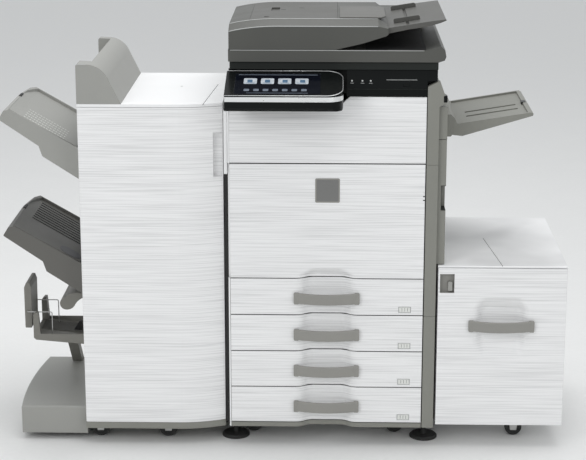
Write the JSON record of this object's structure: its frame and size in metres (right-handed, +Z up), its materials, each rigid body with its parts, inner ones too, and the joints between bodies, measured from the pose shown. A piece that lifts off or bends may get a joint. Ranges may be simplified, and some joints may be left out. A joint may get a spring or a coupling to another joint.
{
  "type": "photocopier",
  "caption": "Office photocopier with document feeder, tilting touch panel, paper drawers, floor-standing finisher with output trays, and side paper cabinet.",
  "frame": {"origin": "bottom centre of the bounding box, on the floor", "axes": "+Z up, -Y out of the drawer fronts, +X towards the paper cabinet"},
  "size_m": [1.6156, 0.733, 1.245],
  "materials": {
    "white_panel": "fine horizontal grain, satin",
    "grey_trim": "satin",
    "light_grey": "satin",
    "tray_grey": "satin",
    "feeder_grey": "fine texture",
    "feeder_top": "fine texture",
    "dark_plastic": "satin",
    "gloss_black": "gloss",
    "handle_grey": "satin",
    "screen_glass": "gloss",
    "glass": "clear",
    "steel": "zinc plated",
    "toner_plastic": "satin",
    "image_plastic": "satin",
    "rubber": "matt"
  },
  "bodies": {
    "machine": {"main_frame": "steel", "side_covers": "white_panel", "rear_cover": "white_panel", "grey_trim": "grey_trim", "upper_front_cover": "white_panel", "console_front": "gloss_black", "scanner_housing": "dark_plastic", "platen_glass": "glass", "toner_cartridges": "toner_plastic", "image_unit": "image_plastic", "levelling_feet": "rubber", "caster_forks": "steel", "hinge_brackets": "steel", "exit_tray": "grey_trim", "finisher_frame": "white_panel", "finisher_base": "grey_trim", "exit_hood": "light_grey", "booklet_tray": "tray_grey", "wire_guide": "steel", "floor_bin": "tray_grey", "lcc_cabinet": "white_panel"},
    "lid": {"platen_lid": "feeder_grey", "feeder_body": "feeder_grey", "document_tray": "feeder_grey"},
    "feed_cover": {"feeder_cover": "feeder_top"},
    "front_guide": {"guide_front": "feeder_grey"},
    "rear_guide": {"guide_rear": "feeder_grey"},
    "panel": {"panel_housing": "dark_plastic", "touch_screen": "screen_glass"},
    "home": {"home_key": "gloss_black"},
    "power": {"power_key": "gloss_black"},
    "carriage": {"scan_carriage": "dark_plastic"},
    "door": {"front_door": "white_panel"},
    "right_door": {"side_door": "grey_trim"},
    "finisher_door_body": {"finisher_door": "white_panel"},
    "upper_output": {"upper_tray": "light_grey"},
    "lower_output": {"lower_tray": "tray_grey"},
    "gate": {"booklet_gate": "tray_grey"},
    "flap": {"booklet_flap": "tray_grey"},
    "cabinet_drawer": {"lcc_front": "white_panel", "lcc_handle": "handle_grey", "lcc_tray": "steel"},
    "cabinet_latch": {"lcc_latch": "handle_grey"},
    "drawer_1": {"drawer_front_1": "white_panel", "drawer_handle_1": "handle_grey", "paper_tray_1": "steel"},
    "drawer_2": {"drawer_front_2": "white_panel", "drawer_handle_2": "handle_grey", "paper_tray_2": "steel"},
    "drawer_3": {"drawer_front_3": "white_panel", "drawer_handle_3": "handle_grey", "paper_tray_3": "steel"},
    "drawer_4": {"drawer_front_4": "white_panel", "drawer_handle_4": "handle_grey", "paper_tray_4": "steel"},
    "main_wheels_left_pair": {"main_wheels_left": "rubber"},
    "main_wheels_right_pair": {"main_wheels_right": "rubber"},
    "finisher_wheels_left_pair": {"finisher_wheels_left": "rubber"},
    "finisher_wheels_right_pair": {"finisher_wheels_right": "rubber"},
    "cabinet_wheels_pair": {"cabinet_wheels": "rubber"}
  },
  "joints": [
    {"name": "drawer_1_slide", "type": "slide", "parent": "machine", "child": "drawer_1", "axis": [0, -1, 0], "range_m": [0, 0.4]},
    {"name": "drawer_2_slide", "type": "slide", "parent": "machine", "child": "drawer_2", "axis": [0, -1, 0], "range_m": [0, 0.4]},
    {"name": "drawer_3_slide", "type": "slide", "parent": "machine", "child": "drawer_3", "axis": [0, -1, 0], "range_m": [0, 0.4]},
    {"name": "drawer_4_slide", "type": "slide", "parent": "machine", "child": "drawer_4", "axis": [0, -1, 0], "range_m": [0, 0.4]},
    {"name": "cabinet_drawer_slide", "type": "slide", "parent": "machine", "child": "cabinet_drawer", "axis": [0, -1, 0], "range_m": [0, 0.45]},
    {"name": "cabinet_latch_lift", "type": "slide", "parent": "cabinet_drawer", "child": "cabinet_latch", "axis": [0, 0, 1], "range_m": [0, 0.01], "stiffness_N_per_m": 200, "springref_m": -0.002},
    {"name": "front_door_hinge", "type": "hinge", "parent": "machine", "child": "door", "pos_m": [-0.14215, -0.2255, 0.67485], "axis": [0, 0, -1], "range_deg": [0, 95]},
    {"name": "side_door_hinge", "type": "hinge", "parent": "machine", "child": "right_door", "pos_m": [0.45085, 0.3285, 0.73], "axis": [0, 0, 1], "range_deg": [0, 60]},
    {"name": "finisher_door_hinge", "type": "hinge", "parent": "machine", "child": "finisher_door_body", "pos_m": [-0.56415, -0.2225, 0.53], "axis": [0, 0, -1], "range_deg": [0, 95]},
    {"name": "lid_hinge", "type": "hinge", "parent": "machine", "child": "lid", "pos_m": [0.13685, 0.3405, 1.133], "axis": [-1, 0, 0], "range_deg": [0, 60]},
    {"name": "feed_cover_hinge", "type": "hinge", "parent": "lid", "child": "feed_cover", "pos_m": [-0.09165, -0.0005, 1.2375], "axis": [0, -1, 0], "range_deg": [0, 75]},
    {"name": "front_guide_slide", "type": "slide", "parent": "lid", "child": "front_guide", "axis": [0, 1, 0], "range_m": [-0.05, 0.08]},
    {"name": "rear_guide_slide", "type": "slide", "parent": "lid", "child": "rear_guide", "axis": [0, 1, 0], "range_m": [-0.08, 0.05]},
    {"name": "panel_tilt", "type": "hinge", "parent": "machine", "child": "panel", "pos_m": [0.00685, -0.2155, 1.084], "axis": [1, 0, 0], "range_deg": [-12, 35]},
    {"name": "home_key_press", "type": "slide", "parent": "panel", "child": "home", "axis": [0, 0.2512, -0.9679], "range_m": [0, 0.001], "stiffness_N_per_m": 300, "springref_m": -0.001},
    {"name": "power_key_press", "type": "slide", "parent": "machine", "child": "power", "axis": [0, 0.8786, -0.4775], "range_m": [0, 0.001], "stiffness_N_per_m": 300, "springref_m": -0.001},
    {"name": "scan_travel", "type": "slide", "parent": "machine", "child": "carriage", "axis": [1, 0, 0], "range_m": [0, 0.44]},
    {"name": "upper_tray_lift", "type": "slide", "parent": "machine", "child": "upper_output", "axis": [0, 0, 1], "range_m": [-0.1, 0]},
    {"name": "lower_tray_lift", "type": "slide", "parent": "machine", "child": "lower_output", "axis": [0, 0, 1], "range_m": [-0.008, 0.1]},
    {"name": "booklet_gate_hinge", "type": "hinge", "parent": "machine", "child": "gate", "pos_m": [-0.76015, -0.0215, 0.352], "axis": [0, 1, 0], "range_deg": [-12, 12]},
    {"name": "booklet_flap_hinge", "type": "hinge", "parent": "machine", "child": "flap", "pos_m": [-0.58115, -0.0135, 0.41], "axis": [0, 1, 0], "range_deg": [0, 25]},
    {"name": "main_wheels_left_spin", "type": "hinge", "parent": "machine", "child": "main_wheels_left_pair", "pos_m": [-0.08765, 0.0755, 0.025], "axis": [0, 1, 0], "continuous": true},
    {"name": "main_wheels_right_spin", "type": "hinge", "parent": "machine", "child": "main_wheels_right_pair", "pos_m": [0.32785, 0.0755, 0.025], "axis": [0, 1, 0], "continuous": true},
    {"name": "finisher_wheels_left_spin", "type": "hinge", "parent": "machine", "child": "finisher_wheels_left_pair", "pos_m": [-0.53815, 0.0215, 0.027], "axis": [0, 1, 0], "continuous": true},
    {"name": "finisher_wheels_right_spin", "type": "hinge", "parent": "machine", "child": "finisher_wheels_right_pair", "pos_m": [-0.33815, 0.0215, 0.027], "axis": [0, 1, 0], "continuous": true},
    {"name": "cabinet_wheels_spin", "type": "hinge", "parent": "machine", "child": "cabinet_wheels_pair", "pos_m": [0.67885, 0.0485, 0.025], "axis": [0, 1, 0], "continuous": true}
  ],
  "couplings": [
    {"joint": "rear_guide_slide", "follows": "front_guide_slide", "ratio": -1}
  ]
}
